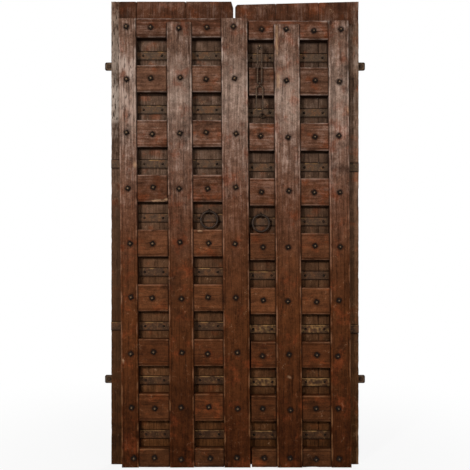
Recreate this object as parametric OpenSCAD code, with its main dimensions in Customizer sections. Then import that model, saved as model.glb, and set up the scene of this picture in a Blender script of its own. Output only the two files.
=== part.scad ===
// Two-leaf plank door. Each leaf is a row of upright boards behind a lapped grid of stiles and
// rails, held by forged nails. Iron straps tie the boards, and two flat bars across the back tie
// both leaves into one sliding panel. Two ring pulls and a hasp chain hang on the front.
// The front faces -Y, X runs to the right as seen from the front, Z is up. Millimetres.

/* [Boards] */
// Thickness of the upright boards
board_t = 30; // [22:1:45]
// Gap between two boards of one leaf
board_gap = 0.6; // [0.3:0.1:1.5]
// Worn arris along the front edges of each board
board_chamfer = 2.5; // [0.5:0.5:6]
// Gap between the boards of the two leaves
leaf_gap = 8; // [3:0.5:12]
// Bare board outside each outer stile
edge_margin = 46; // [25:1:70]
// Bare board above the left leaf's grid
head_margin = 86.5; // [50:0.5:140]
// Width of the left leaf's first board
left_board_1_w = 111; // [80:1:150]
// Width of the left leaf's second board
left_board_2_w = 220; // [160:1:260]
// Width of the right leaf's first board
right_board_1_w = 180; // [120:1:240]
// Width of the right leaf's second board
right_board_2_w = 190; // [140:1:240]
// Fall of the right leaf's worn top towards the meeting edge
top_fall = 14; // [0:1:40]
// Width of the worn top corner at each leaf's meeting edge
worn_corner_w = 9; // [2:1:25]
// Height of the worn top corner on the left leaf
left_worn_corner_h = 27; // [5:1:60]
// Height of the worn top corner on the right leaf
right_worn_corner_h = 11; // [3:1:60]

/* [Grid across] */
// Width of the left outer stile
left_outer_stile_w = 76; // [60:1:110]
// Clear width of the left leaf's outer bay
left_outer_bay_w = 134; // [110:1:160]
// Width of the left middle stile
left_middle_stile_w = 109; // [80:1:130]
// Clear width of the left leaf's inner bay
left_inner_bay_w = 129; // [115:1:160]
// Width of the meeting stile, which the left leaf carries
meeting_stile_w = 116; // [100:1:140]
// Reach of the meeting stile past the left leaf's boards
meeting_lap = 69; // [40:1:80]
// Gap between the meeting stile and the ends of the right leaf's rails
meeting_gap = 5; // [2:0.5:9]
// Length of the right leaf's rails from their free ends to the middle stile
right_inner_bay_w = 110; // [100:1:140]
// Width of the right middle stile
right_middle_stile_w = 112; // [80:1:130]
// Clear width of the right leaf's outer bay
right_outer_bay_w = 125; // [110:1:160]
// Width of the right outer stile
right_outer_stile_w = 89; // [60:1:110]

/* [Grid up and through] */
// Height of a sunk square on the left leaf
left_recess_h = 121; // [110:0.5:140]
// Height of a rail on the left leaf
left_rail_h = 118.5; // [95:0.5:140]
// Height of the left leaf's bottom rail
left_bottom_rail_h = 82; // [65:1:120]
// Height of a sunk square on the right leaf
right_recess_h = 120; // [110:0.5:140]
// Height of a rail on the right leaf
right_rail_h = 118.5; // [95:0.5:140]
// How far the right leaf's middle rows sit below an even spacing
right_row_sag = 10; // [0:0.5:14]
// Height of the right leaf's bottom rail
right_bottom_rail_h = 80; // [65:1:120]
// Height of the top rails
top_rail_h = 84; // [70:1:120]
// How far the middle stiles stop below the top of the top rail
middle_stile_drop = 17; // [0:1:24]
// Thickness of the stiles, boards to front face
stile_t = 45; // [38:1:60]
// How far the rails' faces lie behind the stiles' faces
rail_setback = 4; // [1:0.5:8]
// Thickness of the tongue that a rail keeps behind a stile
tongue_t = 20; // [14:1:28]
// How far a rail's end stops short of the outer stile's edge
rail_end_setback = 2; // [0.5:0.5:6]
// Play between a stile and the rails lapped into it
lap_gap = 0.3; // [0.1:0.1:0.8]
// Lean of the stiles out of plumb in degrees
lean = 0.42; // [0:0.02:0.8]
// Worn arris along the front edges of stiles and rails
grid_chamfer = 3.5; // [1:0.5:8]
// Distance of the scored line from the edge of its stile or rail
score_inset = 11; // [8:0.5:18]
// Width of the scored line
score_w = 3; // [1:0.5:5]
// Depth of the scored line
score_d = 2; // [0.5:0.5:4]

/* [Forged nails] */
// Width of a pyramid head across its flats
nail_head_w = 20; // [16:1:34]
// Height of a pyramid head
nail_head_h = 10; // [6:0.5:16]
// Thickness of the head's rim below the facets
nail_rim_t = 2; // [1:0.5:4]
// Width of the hammered flat on the head's tip
nail_tip_w = 5; // [2:0.5:10]
// Diameter of the shank
nail_d = 7; // [5:0.5:9]
// Play round a shank in the wood
nail_play = 0.15; // [0.1:0.05:0.4]
// Length of the clenched tip on the back
clench_l = 22; // [12:1:32]
// Inward drift of the outer columns from the top rail to the bottom one
nail_drift = 22; // [0:1:24]
// How far a nail is off its mark at most
nail_stray = 4; // [0:0.5:6]

/* [Iron straps] */
// Height of a strap
strap_h = 36; // [26:1:42]
// Thickness of a strap, let in flush with the boards
strap_t = 3; // [2:0.5:5]
// Gap above and below a strap in its groove
strap_gap = 1.5; // [0.5:0.1:2.5]
// How far the straps lie below the middle of the sunk squares
strap_drop = 9; // [0:1:14]
// How far a strap's end stops short of its leaf's meeting edge
strap_end_inset = 10; // [4:1:20]
// Distance of a strap nail from the middle of its bay
strap_nail_spread = 41; // [25:1:46]
// Diameter of a strap nail's head
strap_nail_head_d = 11; // [7:0.5:14]
// Height of a strap nail's head
strap_nail_head_h = 3.5; // [2:0.5:5]
// Diameter of a strap nail's shank
strap_nail_d = 4; // [3:0.5:5]
// Depth of a strap nail in the boards
strap_nail_l = 20; // [10:1:21]

/* [Ring pulls] */
// Outer diameter of a ring
ring_d = 84; // [64:1:94]
// Diameter of the ring's bar
ring_bar_d = 10.5; // [8:0.5:12]
// Gap between a hanging ring and the rail below it
ring_foot_gap = 1.5; // [0.5:0.5:8]
// Least wood between the shank of a ring's eye and the strap below it
ring_eye_wood = 2; // [1:0.5:5]
// Shift of a ring from the middle of its bay towards the meeting stile
ring_shift = 5; // [0:0.5:12]
// Distance from the boards to the middle of the ring's bar
ring_standoff = 14; // [12:0.5:20]
// Diameter of the wire of the ring's eye
ring_eye_wire_d = 6.5; // [5:0.5:8]
// Play of the ring in its eye
ring_play = 0.4; // [0.3:0.1:1]

/* [Hasp chain] */
// Diameter of the links' bar
link_bar_d = 7; // [5:0.5:9]
// Outer width of a link
link_w = 25; // [20:1:32]
// Length of the first link between its two pivots
link_1_l = 81; // [60:1:100]
// Length of the second link between its two pivots
link_2_l = 83; // [60:1:100]
// Outer width of the hasp
hasp_w = 35; // [28:1:46]
// Length of the hasp from its pivot to the middle of its end bar
hasp_l = 118; // [90:1:130]
// Diameter of the wire of the eyes
chain_eye_wire_d = 6; // [5:0.5:8]
// Play between an eye and the bar in it
chain_play = 0.4; // [0.3:0.1:0.8]
// Gap between the chain's eyes and the face of the rail behind
chain_standoff = 1.2; // [0.8:0.1:4]
// Drop of the chain's staple below the top of the first sunk square
chain_drop = 32; // [20:1:44]
// Shift of the chain from the middle of its bay towards the meeting stile
chain_shift = 6; // [0:1:12]
// Shift of the keeper from the middle of its bay away from the meeting stile
keeper_shift = 6; // [0:1:12]
// Middle diameter of the hasp's keeper eye
keeper_d = 18; // [14:1:24]
// Diameter of the keeper's wire
keeper_wire_d = 6; // [4:0.5:7]
// Distance from the boards to the middle of the keeper's wire
keeper_standoff = 9; // [6:0.5:14]

/* [Back bars] */
// Height of a bar
bar_h = 36; // [28:1:50]
// Thickness of a bar
bar_t = 8; // [5:0.5:12]
// Reach of a bar past the boards
bar_reach = 33; // [30:1:60]
// Radius of a bar's corners
bar_corner_r = 7; // [2:0.5:12]
// Diameter of the hole in each bar end
bar_hole_d = 11; // [8:0.5:14]
// Distance of that hole from the bar's end
bar_hole_inset = 19; // [14:1:24]
// Height of the upper bar above the foot of the first row of squares
upper_bar_rise = 11.5; // [0:0.5:50]
// Height of the lower bar above the foot of the last row but one
lower_bar_rise = 50; // [0:1:70]
// Diameter of a bar screw's shank
screw_d = 6; // [4:0.5:8]
// Diameter of a bar screw's head
screw_head_d = 15; // [11:0.5:18]
// Height of a bar screw's head
screw_head_h = 4.5; // [3:0.5:7]
// Depth of a bar screw in the boards
screw_l = 16; // [10:1:17]
// Distance of the inner bar screws from the leaf's meeting edge
screw_edge = 32; // [20:1:44]

/* [Hidden] */
$fn = 48;
LEFT = 0;
RIGHT = 1;
SIDES = ["left", "right"];
rows = 8;
boards = 3;
wrapped_rows = [3, 6];
ring_row = 4;
chain_row = 1;
cut = 1;
// A clenched tip is hammered slimmer than its shank, and an eye's shank slimmer than its wire
clench_share = 0.65;
shank_share = 0.8;
// A shank ends this share of the way through its clenched tip, which lies just off the boards
clench_bite = 0.7;
clench_off = 0.2;
// An eye's shank starts this share of the wire past the wire's middle, inside the wire
eye_bite = 1 / 3;
keeper_bite = 1 / 6;
// Mean turn of a nail's head and how far it varies, with the steps that scatter the nails
turn_mean = 45;
turn_spread = 24;
stray_steps = [137, 83];
turn_steps = [101, 67, 40];
// A link's straight strands are drawn a little slimmer than its bends and let into them
strand_slim = 0.2;
strand_bite = 1;
// A loop's top bend is welded on a little below the middle of the eye's wire
weld_drop = 0.8;

wood = "#5b3a2a";
board_wood = "#4a3428";
iron = "#2b2725";
strap_iron = "#54483d";

// Places across, at mid-height
panel_w = 2 * edge_margin + left_outer_stile_w + left_outer_bay_w + left_middle_stile_w
    + left_inner_bay_w + meeting_stile_w + meeting_gap + right_inner_bay_w + right_middle_stile_w
    + right_outer_bay_w + right_outer_stile_w;
left_outer_x = -panel_w / 2 + edge_margin;
left_middle_x = left_outer_x + left_outer_stile_w + left_outer_bay_w;
meeting_x = left_middle_x + left_middle_stile_w + left_inner_bay_w;
meeting_end = meeting_x + meeting_stile_w;
right_rail_x = meeting_end + meeting_gap;
right_middle_x = right_rail_x + right_inner_bay_w;
right_outer_x = right_middle_x + right_middle_stile_w + right_outer_bay_w;
right_outer_end = right_outer_x + right_outer_stile_w;
leaf_x0 = [-panel_w / 2, meeting_end - meeting_lap + leaf_gap];
leaf_x1 = [meeting_end - meeting_lap, panel_w / 2];
outer_edge = [leaf_x0[LEFT], leaf_x1[RIGHT]];
inner_edge = [leaf_x1[LEFT], leaf_x0[RIGHT]];
inward = [1, -1];

// Middles of each leaf's two bays, from left to right
bay_mids = [
    [left_middle_x - left_outer_bay_w / 2, meeting_x - left_inner_bay_w / 2],
    [(meeting_end + right_middle_x) / 2, right_outer_x - right_outer_bay_w / 2]
];
inner_bay_mid = [bay_mids[LEFT][1], bay_mids[RIGHT][0]];

// Left edge, width and stop below the grid's top of each stile
stiles = [
    [
        [left_outer_x, left_outer_stile_w, 0],
        [left_middle_x, left_middle_stile_w, middle_stile_drop],
        [meeting_x, meeting_stile_w, 0]
    ],
    [
        [right_middle_x, right_middle_stile_w, middle_stile_drop],
        [right_outer_x, right_outer_stile_w, 0]
    ]
];
outer_stile = [stiles[LEFT][0], stiles[RIGHT][1]];
middle_stile = [stiles[LEFT][1], stiles[RIGHT][0]];
function stile_mid(stile) = stile[0] + stile[1] / 2;

// Joints between the boards of each leaf
first_joint = [leaf_x0[LEFT] + left_board_1_w, leaf_x0[RIGHT] + right_board_1_w];
board_ends = [
    [leaf_x0[LEFT], first_joint[LEFT], first_joint[LEFT] + left_board_2_w, leaf_x1[LEFT]],
    [leaf_x0[RIGHT], first_joint[RIGHT], first_joint[RIGHT] + right_board_2_w, leaf_x1[RIGHT]]
];

// Heights, with row 1 and rail 1 at the top
recess_h = [left_recess_h, right_recess_h];
mid_rail_h = [left_rail_h, right_rail_h];
bottom_rail_h = [left_bottom_rail_h, right_bottom_rail_h];
row_sag = [0, right_row_sag];
function sag(side, row) = row_sag[side] * (1 - pow((2 * row - rows - 1) / (rows - 1), 2));
function recess_z(side, row) =
    bottom_rail_h[side] + (rows - row) * (recess_h[side] + mid_rail_h[side]) - sag(side, row);
function rail_z(side, k) = k > rows ? 0 : recess_z(side, k) + recess_h[side];
function rail_h(side, k) = k == 1 ? top_rail_h : recess_z(side, k - 1) - rail_z(side, k);
function strap_z(side, row) = recess_z(side, row) + recess_h[side] / 2 - strap_drop;
function grid_top(side) = rail_z(side, 1) + top_rail_h;
panel_h = grid_top(LEFT) + head_margin;

// Sideways place of a leaning line at height z, from its place at mid-height
function shift(z) = (panel_h / 2 - z) * tan(lean);

// Room that an eye needs round a bent bar: the bar, its bend within the eye, and the play
function eye_room(bar_d, bend_r, wire_d, play) =
    bar_d / 2 + bend_r - sqrt(pow(bend_r, 2) - pow(wire_d / 2, 2)) + play;

// Ring pulls
ring_r = (ring_d - ring_bar_d) / 2;
ring_eye_in = eye_room(ring_bar_d, ring_r, ring_eye_wire_d, ring_play);
ring_x = [for (side = [LEFT, RIGHT]) inner_bay_mid[side] + inward[side] * ring_shift];
function ring_hang_z(side) = recess_z(side, ring_row) + ring_foot_gap + ring_d - ring_bar_d / 2;
function ring_least_z(side) =
    strap_z(side, ring_row) + strap_h / 2 + strap_gap + ring_eye_wood + ring_eye_wire_d / 2;
ring_z = [for (side = [LEFT, RIGHT]) max(ring_hang_z(side), ring_least_z(side))];

// Hasp chain
rail_t = stile_t - rail_setback;
link_bow_r = (link_w - link_bar_d) / 2;
hasp_bow_r = (hasp_w - link_bar_d) / 2;
chain_eye_in = eye_room(link_bar_d, link_bow_r, chain_eye_wire_d, chain_play);
chain_eye_r = chain_eye_in + chain_eye_wire_d / 2;
chain_eye_out = chain_eye_in + chain_eye_wire_d;
chain_y = -(rail_t + chain_standoff + chain_eye_out);
chain_z = recess_z(RIGHT, chain_row) + right_recess_h - chain_drop;
chain_x = inner_bay_mid[RIGHT] - chain_shift + shift(chain_z);
link_2_z = chain_z - link_1_l;
hasp_z = link_2_z - link_2_l;
keeper_row = chain_row + 1;
keeper_x = inner_bay_mid[RIGHT] + keeper_shift + shift(recess_z(RIGHT, keeper_row));
keeper_z = strap_z(RIGHT, keeper_row) - strap_h / 2 - 2 * strap_gap - keeper_wire_d / 2;

// Back bars
bar_z = [recess_z(LEFT, 1) + upper_bar_rise, recess_z(LEFT, rows - 1) + lower_bar_rise];
bar_l = panel_w + 2 * bar_reach;
function screw_xs(z) = [
    for (side = [LEFT, RIGHT]) each [
        stile_mid(outer_stile[side]) + shift(z),
        stile_mid(middle_stile[side]) + shift(z),
        inner_edge[side] - inward[side] * screw_edge
    ]
];
screw_spots = [for (z = bar_z, x = screw_xs(z)) [x, z]];

// The panel is centred in depth between its foremost and rearmost points
leg_reach = clench_off + clench_share * max(nail_d, ring_eye_wire_d, chain_eye_wire_d, keeper_wire_d);
front_reach = max(stile_t + nail_head_h, chain_eye_out - chain_y);
back_reach = board_t + max(bar_t + screw_head_h, leg_reach);
centre_y = (front_reach - back_reach) / 2;

// Nail columns: middle, 1 on a stile, 1 through the boards too, and the way of its drift
columns = [
    [
        [stile_mid(stiles[LEFT][0]), 1, 1, 1],
        [bay_mids[LEFT][0], 0, 1, 0],
        [stile_mid(stiles[LEFT][1]), 1, 1, 0],
        [bay_mids[LEFT][1], 0, 1, 0],
        [stile_mid(stiles[LEFT][2]), 1, 0, 0]
    ],
    [
        [bay_mids[RIGHT][0], 0, 1, 0],
        [stile_mid(stiles[RIGHT][0]), 1, 1, 0],
        [bay_mids[RIGHT][1], 0, 1, 0],
        [stile_mid(stiles[RIGHT][1]), 1, 1, -1]
    ]
];

// Each nail is driven by hand, a little off its mark and turned its own way.
// The chain's hasp hangs where one nail would be.
function stray(a, b) = nail_stray * sin([a, b] * stray_steps);
function drift(column, k) = column[3] * nail_drift * ((k - 1) / rows - 1 / 3);
function behind_chain(side, c, k) = side == RIGHT && c == 0 && k == keeper_row;
function nail_z(side, c, k) = rail_z(side, k) + rail_h(side, k) / 2 + stray(k, 3 * c);
function nail_x(side, c, k) =
    columns[side][c][0] + drift(columns[side][c], k) + stray(c, k) + shift(nail_z(side, c, k));
function nail_turn(side, c, k) = turn_mean + turn_spread * sin([k, c, side] * turn_steps);
function column_list(side) = [0:len(columns[side]) - 1];

// Spots of nails: x, z, whether on a stile, whether through the boards, and the head's turn
function nail_spots(side, cs, ks) = [
    for (c = cs, k = ks) if (!behind_chain(side, c, k)) [
        nail_x(side, c, k),
        nail_z(side, c, k),
        columns[side][c][1],
        columns[side][c][2],
        nail_turn(side, c, k)
    ]
];
strap_nail_spots = [
    for (side = [LEFT, RIGHT], row = [1:rows], mid = bay_mids[side], way = [-1, 1])
        [mid + way * strap_nail_spread + shift(strap_z(side, row)), strap_z(side, row)]
];

// Everything is modelled with the boards' front at y = 0 and then centred
module placed() {
    translate([0, centre_y, 0]) children();
}

// Round hole along Y between two depths
module bore(x, z, d, y0, y1) {
    translate([x, y0, z]) rotate([-90, 0, 0]) cylinder(d = d, h = y1 - y0);
}

module nail_bores(spots, y0, y1) {
    for (s = spots) bore(s[0], s[1], nail_d + 2 * nail_play, y0, y1);
}

// Outline of a leaf's boards seen from the front, with its worn top
module leaf_outline(side) {
    outer = outer_edge[side];
    inner = inner_edge[side];
    fall = side == RIGHT ? top_fall : 0;
    corner_h = side == LEFT ? left_worn_corner_h : right_worn_corner_h;
    polygon([
        [outer, 0],
        [inner, 0],
        [inner, panel_h - fall - corner_h],
        [inner - inward[side] * worn_corner_w, panel_h - fall],
        [outer, panel_h]
    ]);
}

// Section of one board, with worn front arrises
module board_section(w) {
    c = board_chamfer;
    polygon([[0, board_t], [0, c], [c, 0], [w - c, 0], [w, c], [w, board_t]]);
}

module board(side, i) {
    x0 = board_ends[side][i - 1] + (i > 1 ? board_gap / 2 : 0);
    x1 = board_ends[side][i] - (i < boards ? board_gap / 2 : 0);
    margin = nail_d;
    nails = [
        for (s = nail_spots(side, column_list(side), [1:rows + 1]))
            if (s[3] == 1 && s[0] > x0 - margin && s[0] < x1 + margin) s
    ];
    small = [for (s = strap_nail_spots) if (s[0] > x0 - margin && s[0] < x1 + margin) s];
    screws = [for (s = screw_spots) if (s[0] > x0 - margin && s[0] < x1 + margin) s];
    color(board_wood) placed() difference() {
        intersection() {
            translate([x0, 0, 0]) linear_extrude(panel_h + cut) board_section(x1 - x0);
            translate([0, board_t + cut, 0]) rotate([90, 0, 0])
                linear_extrude(board_t + 2 * cut) leaf_outline(side);
        }
        strap_grooves(side);
        nail_bores(nails, -cut, board_t + cut);
        for (s = small) bore(s[0], s[1], strap_nail_d + 2 * nail_play, 0, strap_nail_l + nail_play);
        for (s = screws)
            bore(s[0], s[1], screw_d + 2 * nail_play, board_t - screw_l - nail_play, board_t + cut);
        cotter_bore(ring_x[side], ring_z[side], ring_eye_wire_d);
        if (side == RIGHT) cotter_bore(chain_x, chain_z, chain_eye_wire_d);
        if (side == RIGHT) cotter_bore(keeper_x, keeper_z, keeper_wire_d);
    }
}

// Corners of a scored line in a face
function score(at, depth) = [[depth, at + score_w / 2], [depth + score_d, at], [depth, at - score_w / 2]];

// Section of a stile or rail: depth along X, width along Y from 0 to w
module member_section(w, t) {
    c = grid_chamfer;
    polygon(concat(
        [[0, 0], [0, w], [-t + c, w], [-t, w - c]],
        score(w - score_inset, -t),
        score(score_inset, -t),
        [[-t, c], [-t + c, 0]]
    ));
}

// Children stand on the leaning line that crosses x at mid-height
module lean_at(x) {
    translate([x, 0, panel_h / 2]) rotate([0, -lean, 0]) children();
}

// Slab across the whole panel between two heights and two depths
module slab(z0, z1, y0, y1) {
    translate([-panel_w, y0, z0]) cube([2 * panel_w, y1 - y0, z1 - z0]);
}

module stile(side, n) {
    s = stiles[side][n];
    top = grid_top(side) - s[2];
    own = [for (c = column_list(side)) if (columns[side][c][0] == stile_mid(s)) c];
    color(wood) placed() difference() {
        intersection() {
            lean_at(stile_mid(s)) translate([-s[1] / 2, 0, -panel_h])
                linear_extrude(2 * panel_h) mirror([1, -1]) member_section(s[1], stile_t);
            slab(0, top, -stile_t - cut, cut);
        }
        for (k = [1:rows + 1]) {
            z = rail_z(side, k);
            slab(z - lap_gap, z + rail_h(side, k) + lap_gap, -tongue_t - lap_gap, cut);
        }
        nail_bores(nail_spots(side, own, [1:rows + 1]), -stile_t - cut, cut);
    }
}

// The room that a stile takes in front of the rails' tongues
module stile_seat(side, s) {
    w = s[1] + 2 * lap_gap;
    intersection() {
        lean_at(stile_mid(s)) translate([-w / 2, -stile_t - cut, -panel_h])
            cube([w, stile_t + cut - tongue_t, 2 * panel_h]);
        slab(-cut, grid_top(side) - s[2] + (s[2] > 0 ? lap_gap : cut), -2 * stile_t, 0);
    }
}

module rail(side, k) {
    z = rail_z(side, k);
    h = rail_h(side, k);
    at = shift(z + h / 2);
    x0 = at + (side == LEFT ? left_outer_x + rail_end_setback : right_rail_x);
    x1 = at + (side == LEFT ? meeting_end : right_outer_end) - rail_end_setback;
    color(wood) placed() difference() {
        translate([x0, 0, z]) rotate([90, 0, 90]) linear_extrude(x1 - x0) member_section(h, rail_t);
        for (s = stiles[side]) stile_seat(side, s);
        nail_bores(nail_spots(side, column_list(side), [k]), -stile_t - cut, cut);
    }
}

// Where a strap starts and ends: at the outer edge on wrapped rows, else behind the outer stile
function is_wrapped(row) = len(search(row, wrapped_rows)) > 0;
function strap_outer(side, row) = is_wrapped(row) ? outer_edge[side] : stile_mid(outer_stile[side]);
function strap_inner(side) = inner_edge[side] - inward[side] * strap_end_inset;
function strap_l(side, row) = abs(strap_inner(side) - strap_outer(side, row));

// A strap lies in its groove. On wrapped rows it is bent round the leaf's edge.
module strap(side, row) {
    z = strap_z(side, row);
    small = [for (s = strap_nail_spots) if (abs(s[1] - z) < strap_h) s];
    color(strap_iron) placed() difference() {
        translate([strap_outer(side, row), 0, z - strap_h / 2]) mirror([side, 0, 0]) {
            cube([strap_l(side, row), strap_t, strap_h]);
            if (is_wrapped(row)) {
                translate([-strap_t, strap_t, 0]) cube([strap_t, board_t - strap_t, strap_h]);
                intersection() {
                    translate([0, strap_t, 0]) cylinder(r = strap_t, h = strap_h);
                    translate([-strap_t, 0, 0]) cube([strap_t, strap_t, strap_h]);
                }
            }
        }
        for (s = small) bore(s[0], s[1], strap_nail_d + 2 * nail_play, -cut, board_t);
    }
}

module strap_grooves(side) {
    for (row = [1:rows])
        translate([strap_outer(side, row), 0, strap_z(side, row) - strap_h / 2 - strap_gap])
            mirror([side, 0, 0]) translate([-strap_gap, -cut, 0])
                cube([strap_l(side, row) + 2 * strap_gap, strap_t + cut, strap_h + 2 * strap_gap]);
}

// Profile of a nail's head: rim, facets and hammered tip
module nail_profile() {
    a = nail_head_w / 2;
    b = nail_tip_w / 2;
    polygon([[-a, 0], [a, 0], [a, nail_rim_t], [b, nail_head_h], [-b, nail_head_h], [-a, nail_rim_t]]);
}

// Four-sided head that stands on z = 0: the profile run along Y and along X, and what they share
module nail_head() {
    a = nail_head_w / 2;
    intersection() {
        translate([0, a, 0]) rotate([90, 0, 0]) linear_extrude(nail_head_w) nail_profile();
        translate([-a, 0, 0]) rotate([90, 0, 90]) linear_extrude(nail_head_w) nail_profile();
    }
}

// Depth at which a shank ends inside its clenched tip
function clench_end(d) = board_t + clench_off + clench_bite * clench_share * d;

// A tip bent over along the back of the boards: down only for 1 way, down and up for 2
module clench(x, z, d, ways) {
    leg_d = clench_share * d;
    translate([x, board_t + clench_off + leg_d / 2, z - clench_l]) cylinder(d = leg_d, h = ways * clench_l);
}

module forged_nails() {
    color(iron) placed() for (side = [LEFT, RIGHT], s = nail_spots(side, column_list(side), [1:rows + 1])) {
        face = -(s[2] == 1 ? stile_t : rail_t);
        end = s[3] == 1 ? clench_end(nail_d) : -nail_play;
        translate([s[0], face, s[1]]) rotate([90, s[4], 0]) nail_head();
        bore(s[0], s[1], nail_d, face, end);
        if (s[3] == 1) clench(s[0], s[1], nail_d, 1);
    }
}

module strap_nails() {
    color(iron) placed() for (s = strap_nail_spots) {
        bore(s[0], s[1], strap_nail_d, 0, strap_nail_l);
        translate([s[0], 0, s[1]]) rotate([90, 0, 0])
            cylinder(d1 = strap_nail_head_d, d2 = strap_nail_head_d / 2, h = strap_nail_head_h);
    }
}

// Shank of an eye, through the boards from depth y, with its two legs spread on the back
module cotter_shank(x, z, d, y) {
    bore(x, z, shank_share * d, y, clench_end(d));
    clench(x, z, d, 2);
}

module cotter_bore(x, z, d) {
    bore(x, z, shank_share * d + 2 * nail_play, -cut, board_t + cut);
}

// Wire eye round an axis along X, with its joint at the top
module eye(x, y, z, inner_r, wire_d) {
    translate([x, y, z]) rotate([0, 90, 0]) rotate([0, 0, 180])
        rotate_extrude() translate([inner_r + wire_d / 2, 0]) rotate(90) circle(d = wire_d);
}

module cotter_eye(x, y, z, inner_r, wire_d) {
    eye(x, y, z, inner_r, wire_d);
    cotter_shank(x, z, wire_d, y + inner_r + wire_d * eye_bite);
}

module ring(side) {
    color(iron) placed() translate([ring_x[side], -ring_standoff, ring_z[side] - ring_r]) rotate([90, 0, 0])
        rotate_extrude() translate([ring_r, 0]) circle(d = ring_bar_d);
}

module ring_staple(side) {
    color(iron) placed() cotter_eye(ring_x[side], -ring_standoff, ring_z[side], ring_eye_in, ring_eye_wire_d);
}

module chain_staple() {
    color(iron) placed() cotter_eye(chain_x, chain_y, chain_z, chain_eye_in, chain_eye_wire_d);
}

// Long loop of bar, flat to the front, between the middles of its top and bottom bends
module loop(z_top, z_end, bow_r) {
    for (way = [-1, 1]) {
        translate([chain_x + way * bow_r, chain_y, z_end + bow_r - strand_bite])
            cylinder(d = link_bar_d - strand_slim, h = z_top - z_end - 2 * (bow_r - strand_bite));
        translate([chain_x, chain_y, way > 0 ? z_top - bow_r : z_end + bow_r]) rotate([way * 90, 0, 0])
            rotate_extrude(angle = 180) translate([bow_r, 0]) circle(d = link_bar_d);
    }
}

// A link that hangs by an eye on the bend of the link above
module eye_link(z, l, bow_r) {
    eye(chain_x, chain_y, z, chain_eye_in, chain_eye_wire_d);
    loop(z - chain_eye_r - weld_drop, z - l, bow_r);
}

module chain_link_1() {
    color(iron) placed() loop(chain_z, link_2_z, link_bow_r);
}

module chain_link_2() {
    color(iron) placed() eye_link(link_2_z, link_2_l, link_bow_r);
}

module chain_hasp() {
    color(iron) placed() eye_link(hasp_z, hasp_l, hasp_bow_r);
}

// Eye that faces the front, carried by a shank at its foot
module chain_keeper() {
    color(iron) placed() {
        translate([keeper_x, -keeper_standoff, keeper_z + keeper_d / 2]) rotate([90, 90, 0])
            rotate_extrude() translate([keeper_d / 2, 0]) rotate(180) circle(d = keeper_wire_d);
        cotter_shank(keeper_x, keeper_z, keeper_wire_d, -keeper_standoff - keeper_wire_d * keeper_bite);
    }
}

// Flat bar with rounded corners, seen from the front
module bar_outline() {
    r = bar_corner_r;
    square([bar_l - 2 * r, bar_h], center = true);
    square([bar_l, bar_h - 2 * r], center = true);
    for (x = [-1, 1], y = [-1, 1]) translate([x * (bar_l / 2 - r), y * (bar_h / 2 - r)]) circle(r = r);
}

module back_bar(n) {
    z = bar_z[n];
    color(iron) placed() difference() {
        translate([0, board_t, z]) rotate([-90, 0, 0]) linear_extrude(bar_t) bar_outline();
        for (way = [-1, 1])
            bore(way * (bar_l / 2 - bar_hole_inset), z, bar_hole_d, board_t - cut, board_t + bar_t + cut);
        for (x = screw_xs(z)) bore(x, z, screw_d + 2 * nail_play, board_t - cut, board_t + bar_t + cut);
    }
}

module bar_screws() {
    color(strap_iron) placed() for (s = screw_spots) {
        bore(s[0], s[1], screw_d, board_t - screw_l, board_t + bar_t);
        translate([s[0], board_t + bar_t, s[1]]) rotate([-90, 0, 0])
            cylinder(d1 = screw_head_d, d2 = screw_head_d / 2, h = screw_head_h);
    }
}

for (side = [LEFT, RIGHT]) {
    name = SIDES[side];
    for (i = [1:boards]) board(side, i);
    for (k = [1:rows + 1]) rail(side, k);
    for (r = [1:rows]) strap(side, r);
    ring(side);
    ring_staple(side);
}
stile(LEFT, 0);  // left_outer_stile
stile(LEFT, 1);  // left_middle_stile
stile(LEFT, 2);  // meeting_stile
stile(RIGHT, 0);  // right_middle_stile
stile(RIGHT, 1);  // right_outer_stile
forged_nails();
strap_nails();
chain_staple();
chain_link_1();
chain_link_2();
chain_hasp();
chain_keeper();
back_bar(0);  // upper_back_bar
back_bar(1);  // lower_back_bar
bar_screws();
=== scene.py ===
from math import copysign, inf, pi, radians, sin, sqrt, tan

import bmesh
import bpy
from mathutils import Matrix, Vector, noise


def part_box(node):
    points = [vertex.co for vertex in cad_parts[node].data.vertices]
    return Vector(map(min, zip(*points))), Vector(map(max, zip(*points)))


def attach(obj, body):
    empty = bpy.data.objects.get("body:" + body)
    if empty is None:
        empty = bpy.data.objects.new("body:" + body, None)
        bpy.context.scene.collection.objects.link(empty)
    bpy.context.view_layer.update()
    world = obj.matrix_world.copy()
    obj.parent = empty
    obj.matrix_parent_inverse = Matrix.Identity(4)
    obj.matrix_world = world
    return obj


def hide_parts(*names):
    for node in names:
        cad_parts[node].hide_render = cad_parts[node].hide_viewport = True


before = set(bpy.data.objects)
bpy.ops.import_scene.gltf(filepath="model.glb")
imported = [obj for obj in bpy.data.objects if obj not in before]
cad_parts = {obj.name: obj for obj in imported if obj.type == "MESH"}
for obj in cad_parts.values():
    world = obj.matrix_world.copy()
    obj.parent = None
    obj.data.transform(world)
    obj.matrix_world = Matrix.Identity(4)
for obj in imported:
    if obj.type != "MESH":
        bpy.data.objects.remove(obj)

scene = bpy.context.scene
ops = bmesh.ops
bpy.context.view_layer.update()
print("frame loaded with", len(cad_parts), "nodes")

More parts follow.
